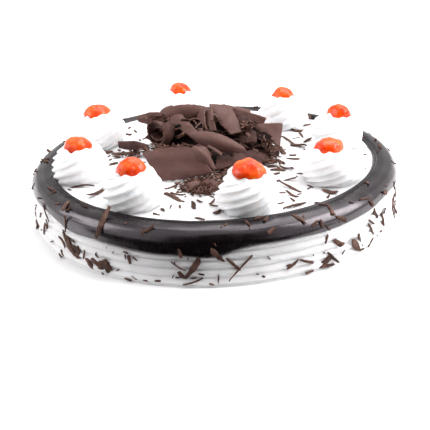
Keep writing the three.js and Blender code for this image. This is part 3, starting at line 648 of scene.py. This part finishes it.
def glaze_place(azimuth, reach):
    """A spot reach up the glaze from GLAZE_FLAKE_FOOT, with its frame as columns."""
    foot, rim = (WALL_RADIUS + 2.3, GLAZE_FLAKE_FOOT), (RIM_RADIUS, TOP_Z + GLAZE_RISE)
    line = np.array([foot] + shoulder_line(GLAZE_THICKNESS + GAP) + [rim])
    steps = np.linalg.norm(np.diff(line, axis=0), axis=1)
    along = np.concatenate([[0], np.cumsum(steps)])
    k = min(int(np.searchsorted(along, reach, side="right")) - 1, len(steps) - 1)
    r, z = line[k] + (line[k + 1] - line[k]) * (reach - along[k]) / steps[k]
    rise_r, rise_z = (line[k + 1] - line[k]) / steps[k]
    a = math.radians(azimuth)
    outward = np.array([math.sin(a), -math.cos(a), 0])
    right = np.array([math.cos(a), math.sin(a), 0])
    up = outward * rise_r + np.array([0, 0, rise_z])
    return outward * r + np.array([0, 0, z]), np.stack([right, up, np.cross(right, up)], -1)


def side_place(azimuth, z):
    """A spot on the combed side, with its frame as columns."""
    a = math.radians(azimuth)
    outward, up = np.array([math.sin(a), -math.cos(a), 0]), np.array([0, 0, 1.0])
    right = np.array([math.cos(a), math.sin(a), 0])
    return outward * (BASE_RADIUS - COMB["taper"] * z) + up * z, np.stack([right, up, outward], -1)


# ---- Rosettes and cherries ----------------------------------------------------------------------


def leaning(points, centre, height):
    """How far a rosette leans down towards the outside of the cake, at its points."""
    outward = centre[:2] / np.linalg.norm(centre[:2])
    across = ((points[..., :2] - centre[:2]) @ outward) / (ROSETTE_HEIGHT * 0.8)
    return -ROSETTE_LEAN * across * height * height


def rosette(number, cream):
    """A piped star dome whose lobes wind round it as they rise, with a collar for its cherry."""
    x, y, width, turn, share, tip_x, tip_y = ROSETTE_ROWS[number]
    centre, tall = np.array([x, y, 0.0]), ROSETTE_HEIGHT * share
    line = smooth_line(ROSETTE_LINE, 100)
    r_share, height, groove = (line[:, [k]] for k in range(3))
    around = POINTS_PER_LOBE
    rng = np.random.default_rng(SEED + number)
    lobe_width = 1 + 0.22 * rng.uniform(-1, 1, ROSETTE_LOBES)
    ends = np.concatenate([[0], np.cumsum(lobe_width)]) * 2 * math.pi / lobe_width.sum()
    share_of_lobe = np.arange(around) / around
    starts, spans = ends[:-1, None], np.diff(ends)[:, None]
    angle = (starts + share_of_lobe * spans).ravel()
    phase_of_lobe = np.tile(share_of_lobe, ROSETTE_LOBES)[None, :]
    depth = np.repeat(rng.uniform(0.75, 1.3, ROSETTE_LOBES), around)[None, :]
    bulge = np.repeat(rng.uniform(-0.5, 0.5, ROSETTE_LOBES), around)[None, :]
    bulge = bulge * np.sin(np.pi * phase_of_lobe) ** 2
    angle = angle[None, :] + 0.1 * np.sin(2 * angle[None, :] + 3 * height + number)
    valley = 1 - np.abs(np.sin(np.pi * phase_of_lobe**1.5)) ** 0.9
    r = width / 2 * r_share - ROSETTE_GROOVE * groove * valley * depth + bulge * groove
    turned = math.radians(turn) * np.clip(height, 0, 0.95) ** 0.95 + number * 1.7
    points = np.stack([r * np.cos(angle + turned), r * np.sin(angle + turned), 0 * r], -1) + centre
    points[..., 2] = TOP_Z + GAP + tall * height + leaning(points, centre, np.clip(height, 0, 1))
    shift = np.clip(height / 0.8, 0, 1) ** 2
    points[..., 0] += tip_x * shift
    points[..., 1] += tip_y * shift
    loose = np.clip((height - 0.02) * 8, 0, 1)
    away = points - centre - np.array([0, 0, TOP_Z + tall * 0.4])
    away /= np.linalg.norm(away, axis=-1, keepdims=True)
    uneven = 0.6 * waves(points, 19, 31 + number) + 0.22 * waves(points, 6, 51 + number)
    points += away * (loose * uneven)[..., None]
    collar = np.exp(-(((r_share - 0.5) / 0.12) ** 2)) * (height > 0.7)
    ripple = waves(points, 7, 131 + number) + 0.35 * np.cos(np.pi * 2 * phase_of_lobe)
    points[..., 2] += collar * ripple
    node = f"rosette_{number + 1}"
    return grid_piece(f"cream_{node}", points, cream, [node], caps=(0, -1))


def cherry(number, material):
    """Half a candied cherry, pressed into its rosette."""
    node = f"cherry_{number + 1}"
    low, high = box_mm(node)
    centre, width = (low + high) / 2, (high - low)[:2].mean()
    foot = low[2] + 0.3
    tall = high[2] - foot - 0.9
    climb = np.linspace(-0.5, math.pi / 2 - 0.03, 44)[:, None]
    angle = np.linspace(0, 2 * math.pi, 72, endpoint=False)[None, :]
    side = np.cos(climb)
    outline = 1 + 0.03 * np.sin(3 * angle + number) + 0.025 * np.sin(5 * angle + 2 * number)
    r = width / 2 * side * outline
    waist = foot + tall * 0.34
    z = waist + np.where(climb > 0, tall * 0.66, tall * 0.5) * np.sin(climb) + 0 * angle
    points = np.stack([centre[0] + r * np.cos(angle), centre[1] + r * np.sin(angle), z], -1)
    middle = np.array([centre[0], centre[1], waist])
    away = points - middle
    away /= np.linalg.norm(away, axis=-1, keepdims=True)
    uneven = 0.5 * waves(points, 13, 71 + number) + 0.1 * waves(points, 4, 91 + number)
    points += away * uneven[..., None]
    return grid_piece(f"half_{node}", points, material, [node], caps=(0, -1))


# ---- Chocolate ----------------------------------------------------------------------------------


def heap_lump(number, lump, material):
    """A low uneven dome, the core that the curls or crumbs lie on."""
    x, y, length, width, height = lump
    climb = np.linspace(0, math.pi / 2 - 0.02, 40)[:, None]
    angle = np.linspace(0, 2 * math.pi, 120, endpoint=False)[None, :]
    share = np.abs(np.cos(climb)) ** 0.7
    points = np.stack([
        x + length / 2 * share * np.cos(angle), y + width / 2 * share * np.sin(angle),
        TOP_Z - 0.5 + height * np.sin(climb) + 0 * angle,
    ], -1)
    points[..., 2] += np.sin(climb) * (0.7 * waves(points, 10, 101) + 0.5 * waves(points, 4, 102))
    points[..., :2] *= 1 + 0.02 * waves(points, 9, 103)[..., None]
    name = f"heap_lump_{number + 1}"
    return grid_piece(name, points, material, ["chocolate_heap"], caps=(0, -1))


def large_curls(materials):
    """The curls and plates of CURLS."""
    large = Shavings()
    for i, curl in enumerate(CURLS):
        length, width = curl[:2]
        steps = (max(16, int(length * 1.3)), max(6, int(width * 1.1)))
        # Curls that lie in shadow take the darker painted shade colour.
        face = SHADED if i in PAINTED_SHADE_ROWS else SKIN
        turn = rotation(*curl[11:])
        large.add(
            curl[:8], curl[8:11], turn, CURL_THICKNESS, 200 + 10 * i, steps, 0.025, 0.5, face
        )
    large.piece("chocolate_curls", ["chocolate_heap"], materials)


def scraps(rng, materials):
    """Small curls all over the core lumps, and near-black ones deep between them as painted deep
    shade.
    """
    small = Shavings()
    for i in range(SCRAP_COUNT):
        x, y, length, width, height = LUMPS[i % CORE_LUMPS]
        angle, reach = rng.uniform(0, 2 * math.pi), math.sqrt(rng.uniform(0.02, 1.05))
        climb = height * math.sqrt(max(0, 1 - min(1, reach) ** 2)) * rng.uniform(0.85, 1.02)
        place = (
            x + length / 2 * reach * math.cos(angle), y + width / 2 * reach * math.sin(angle),
            TOP_Z + 1 + climb,
        )
        size = (
            rng.uniform(6, 17), rng.uniform(2.5, 8), rng.uniform(20, 220), rng.uniform(-0.3, 0.3),
            rng.uniform(-0.3, 0.3), 0, rng.uniform(-0.5, 0.5), rng.uniform(0, 0.6),
        )
        turn = rotation(rng.uniform(0, 360), rng.uniform(-35, 35), rng.uniform(-60, 60))
        small.add(size, place, turn, SCRAP_THICKNESS, 1000 + 10 * i, (14, 5), 0.12, 0.3)
    # Near-black scraps where the gaps between the curls are in shadow: painted deep shade.
    for i in range(DEEP_SCRAP_COUNT):
        x, y, length, width, height = LUMPS[i % CORE_LUMPS]
        angle, reach = rng.uniform(0, 2 * math.pi), math.sqrt(rng.uniform(0, 0.8))
        place = (
            x + length / 2 * reach * math.cos(angle), y + width / 2 * reach * math.sin(angle),
            TOP_Z + height * math.sqrt(1 - reach**2),
        )
        size = (rng.uniform(8, 18), rng.uniform(3, 7), rng.uniform(20, 120), 0, 0.1, 0, 0.2, 0.2)
        turn = rotation(rng.uniform(0, 360), rng.uniform(-25, 25), rng.uniform(-50, 50))
        small.add(size, place, turn, SCRAP_THICKNESS, 3000 + 10 * i, (12, 4), 0.12, 0.3, DEEP)
    small.piece("chocolate_scraps", ["chocolate_heap"], materials)


def crumbs(rng, materials):
    """Piles of fine broken shavings, dense in the middle, some in the painted shade colour and some
    broken.
    """
    fine = Shavings()
    for *middle, spread_x, spread_y, spread_z, count in CRUMBS:
        for _ in range(count):
            scatter = np.clip(rng.normal(0, 0.55, 3), -1.4, 1.4)
            place = np.array(middle) + scatter * (spread_x, spread_y, spread_z)
            place[2] = max(place[2], TOP_Z + 0.6)
            length, width, bend = rng.uniform(1.6, 5.5), rng.uniform(0.5, 1.8), rng.uniform(-80, 80)
            size = (length, width, bend, 0, rng.uniform(-0.4, 0.4), 0, 0, 0.4)
            turn = rotation(rng.uniform(0, 360), rng.uniform(-30, 30), rng.uniform(-60, 60))
            seed = int(rng.integers(1, 100000))
            # Each crumb takes the skin, the broken edge or the painted shade colour, at random.
            face = int(rng.integers(SKIN, DEEP))
            fine.add(size, place, turn, FLAKE_THICKNESS, seed, (6, 2), 0.2, 0.2, face)
    fine.piece("chocolate_crumbs", ["chocolate_heap"], materials)


def heap(materials):
    """The chocolate on the lumps, from large to fine."""
    large_curls(materials)
    rng = np.random.default_rng(SEED)
    scraps(rng, materials)
    crumbs(rng, materials)


def lie(strewn, place, frame_axes, flake, proud, rng):
    """Lays a flake of length, width and slant on a surface, a little bent, proud of it."""
    length, width, slant = flake
    a = math.radians(slant)
    along = frame_axes[:, 0] * math.cos(a) + frame_axes[:, 1] * math.sin(a)
    normal = frame_axes[:, 2] + 0.12 * rng.normal() * along
    normal /= np.linalg.norm(normal)
    along -= normal * (along @ normal)
    along /= np.linalg.norm(along)
    axes = np.stack([along, np.cross(normal, along), normal], -1)
    bend, taper, leaf = rng.uniform(-45, 50), rng.uniform(-0.4, 0.4), rng.uniform(0, 0.7)
    lift = abs(math.radians(bend)) * length / 16
    size = (length, width, bend, 0, taper, rng.uniform(0, 0.2), rng.uniform(-0.6, 0.6), leaf)
    steps = (max(5, int(length)), max(2, int(width * 1.5)))
    seed = int(rng.integers(1, 100000))
    place = place + normal * (proud + lift)
    strewn.add(size, place, axes, FLAKE_THICKNESS, seed, steps, 0.13, 0.2)


def clear_top(rng, inner, outer):
    """A spot on the open cream that no rosette covers."""
    while True:
        angle, reach = rng.uniform(0, 2 * math.pi), math.sqrt(rng.uniform(inner**2, outer**2))
        x, y = reach * math.cos(angle), reach * math.sin(angle)
        if all(math.hypot(x - row[0], y - row[1]) > row[2] / 2 for row in ROSETTE_ROWS):
            return np.array([x, y, TOP_Z])


def clear_of_floor(z, flake):
    """Height of a side flake's middle, raised where its lower end would reach the floor."""
    length, width, slant = flake
    rise, level = abs(math.sin(math.radians(slant))), abs(math.cos(math.radians(slant)))
    return max(z, (length / 2 + 0.4 * width) * rise + 0.75 * width * level + 0.3)


def flakes(materials):
    """Splinters and short curls on the cream and the glaze: large ones placed, small random."""
    rng = np.random.default_rng(SEED + 1)
    flat = np.eye(3)
    on_top, on_glaze, on_side = Shavings(), Shavings(), Shavings()
    for x, y, *flake in TOP_FLAKES:
        lie(on_top, np.array([x, y, TOP_Z]), flat, flake, 0.5, rng)
    for _ in range(STREWN["top"]):
        flake = (rng.uniform(1.5, 7), rng.uniform(0.5, 1.6), rng.uniform(0, 360))
        lie(on_top, clear_top(rng, 36, 112), flat, flake, 0.4, rng)
    for azimuth, reach, *flake in GLAZE_FLAKES:
        lie(on_glaze, *glaze_place(azimuth, reach), flake, 0.4, rng)
    for _ in range(STREWN["glaze"]):
        spot = glaze_place(rng.uniform(0, 360), rng.uniform(9, 29))
        flake = (rng.uniform(1.2, 6), rng.uniform(0.5, 1.6), rng.uniform(0, 360))
        lie(on_glaze, *spot, flake, 0.3, rng)
    for azimuth, z, *flake in SIDE_FLAKES:
        lie(on_side, *side_place(azimuth, clear_of_floor(z, flake)), flake, 0.3, rng)
    for _ in range(STREWN["side"]):
        azimuth, z = rng.uniform(0, 360), rng.uniform(2, 21)
        unplaced = abs((azimuth + 180) % 360 - 180) > SIDE_PLACED
        longest, widest = (9, 2.4) if unplaced else (4, 1.2)
        flake = (rng.uniform(1.2, longest), rng.uniform(0.5, widest), rng.uniform(0, 360))
        lie(on_side, *side_place(azimuth, clear_of_floor(z, flake)), flake, 0.1, rng)
    on_top.piece("shavings_top", ["cake_body"], materials)
    on_glaze.piece("shavings_glaze", ["glaze_band"], materials)
    on_side.piece("shavings_side", ["cake_body"], materials)


# ---- Stage, light and camera --------------------------------------------------------------------

# The pale floor's half width, and the corners of the two black cards that the front reflects:
# one just over the floor in front of the cake, one upright behind the camera.
FLOOR_REACH = 9000
LOW_CARD = [
    (-330, -1500, 2), (260, -1500, 2), (260, -150, 2), (15, -150, 2), (-10, -139, 2),
    (-60, -139, 2), (-100, -128, 2), (-150, -115, 2), (-330, -115, 2),
]
HIGH_CARD = [(-800, -1300, 1500), (800, -1300, 1500), (800, -1300, 0), (-800, -1300, 0)]
# Softboxes aimed at the cake: name, place in metres, width in metres and watts.
LAMPS = [
    ("overhead", (0.3, 0.35, 1.3), 1.2, 19), ("right", (1.1, -0.2, 0.8), 0.8, 17),
    ("left", (-1.2, -0.1, 0.7), 0.8, 8),
]
WORLD_COLOUR, WORLD_STRENGTH = (1.0, 0.985, 0.995, 1.0), 0.86
# The camera fitted to the photo: metres from the cake's foot, degrees up and rolled, millimetres
# of focal length, and the point it looks at in metres.
CAMERA_DISTANCE, CAMERA_ELEVATION, CAMERA_ROLL, CAMERA_LENS = 0.73225, 22.879, -2.351, 82.34
CAMERA_TARGET = (-0.000628, 0, -0.007486)


def backdrop(name, corners, material):
    """A flat sheet that isn't part of the cake."""
    mesh = mesh_of(name, corners, [tuple(range(len(corners)))])
    mesh.materials.append(material)
    card = bpy.data.objects.new(name, mesh)
    bpy.context.scene.collection.objects.link(card)
    return card


def one_sided_black():
    """Black from the side that its face points to, and clear from behind."""
    black = Material("card_black", Roughness=1.0)
    black.shader.inputs["Base Color"].default_value = (0.004, 0.004, 0.004, 1.0)
    black.shader.inputs["Specular IOR Level"].default_value = 0.0
    nodes = black.tree.nodes
    clear, mix = nodes.new("ShaderNodeBsdfTransparent"), nodes.new("ShaderNodeMixShader")
    black.link(nodes.new("ShaderNodeNewGeometry").outputs["Backfacing"], mix.inputs["Fac"])
    black.link(black.shader.outputs["BSDF"], mix.inputs[1])
    black.link(clear.outputs["BSDF"], mix.inputs[2])
    black.link(mix.outputs["Shader"], nodes["Material Output"].inputs["Surface"])
    return black.data


def stage():
    """A pale floor, and two black cards that only darken what the cake's front reflects."""
    paper = Material("floor_paper", Roughness=0.7)
    paper.colour(paper.noise(3), [(0.3, (0.90, 0.90, 0.90)), (0.7, (0.93, 0.93, 0.93))])
    far = FLOOR_REACH
    backdrop("floor", [(-far, -far, 0), (far, -far, 0), (far, far, 0), (-far, far, 0)], paper.data)
    black = one_sided_black()
    for card in (backdrop("low_card", LOW_CARD, black), backdrop("high_card", HIGH_CARD, black)):
        card.visible_camera = card.visible_shadow = False


def lights():
    """A pale world all round, and the lamps, all turned to the cake."""
    world = bpy.data.worlds.new("studio")
    bpy.context.scene.world = world
    world.use_nodes = True
    background = world.node_tree.nodes["Background"]
    background.inputs["Color"].default_value = WORLD_COLOUR
    background.inputs["Strength"].default_value = WORLD_STRENGTH
    for name, place, size, power in LAMPS:
        light = bpy.data.lights.new(name, "AREA")
        light.size = size
        light.energy = power
        lamp = bpy.data.objects.new(name, light)
        lamp.location = place
        lamp.rotation_euler = Vector(place).to_track_quat("Z", "Y").to_euler()
        bpy.context.scene.collection.objects.link(lamp)


def camera():
    """The photo's view."""
    distance = CAMERA_DISTANCE
    elevation, roll = math.radians(CAMERA_ELEVATION), math.radians(CAMERA_ROLL)
    place = Vector((0, -distance * math.cos(elevation), distance * math.sin(elevation)))
    forward = (Vector(CAMERA_TARGET) - place).normalized()
    right = forward.cross(Vector((0, 0, 1))).normalized()
    up = right.cross(forward)
    leaned_right = right * math.cos(roll) + up * math.sin(roll)
    leaned_up = up * math.cos(roll) - right * math.sin(roll)
    data = bpy.data.cameras.new("camera")
    data.lens = CAMERA_LENS
    data.clip_end = 50
    eye = bpy.data.objects.new("camera", data)
    turned = Matrix((leaned_right, leaned_up, -forward)).transposed().to_4x4()
    eye.matrix_world = Matrix.Translation(place) @ turned
    bpy.context.scene.collection.objects.link(eye)
    bpy.context.scene.camera = eye


# ---- The cake -----------------------------------------------------------------------------------

camera()
stage()
lights()
bpy.context.scene.view_settings.view_transform = "Standard"
spread_cream = cream_material("cream_spread", 300, 0.4, 0.004, 0.82)
piped_cream = cream_material("cream_piped", 260, 0.9, 0.010, 0.95)
chocolate = chocolate_materials()
core = core_material()
cake_body(spread_cream)
glaze_band(glaze_materials())
candied = cherry_material()
for number in range(len(ROSETTE_ROWS)):
    rosette(number, piped_cream)
    cherry(number, candied)
# The core lumps take the near-black painted shade; the front lump takes the broken edge colour.
for number, lump in enumerate(LUMPS):
    heap_lump(number, lump, core if number < CORE_LUMPS else chocolate[EDGE])
heap(chocolate)
flakes([flake_material(), chocolate[EDGE]])
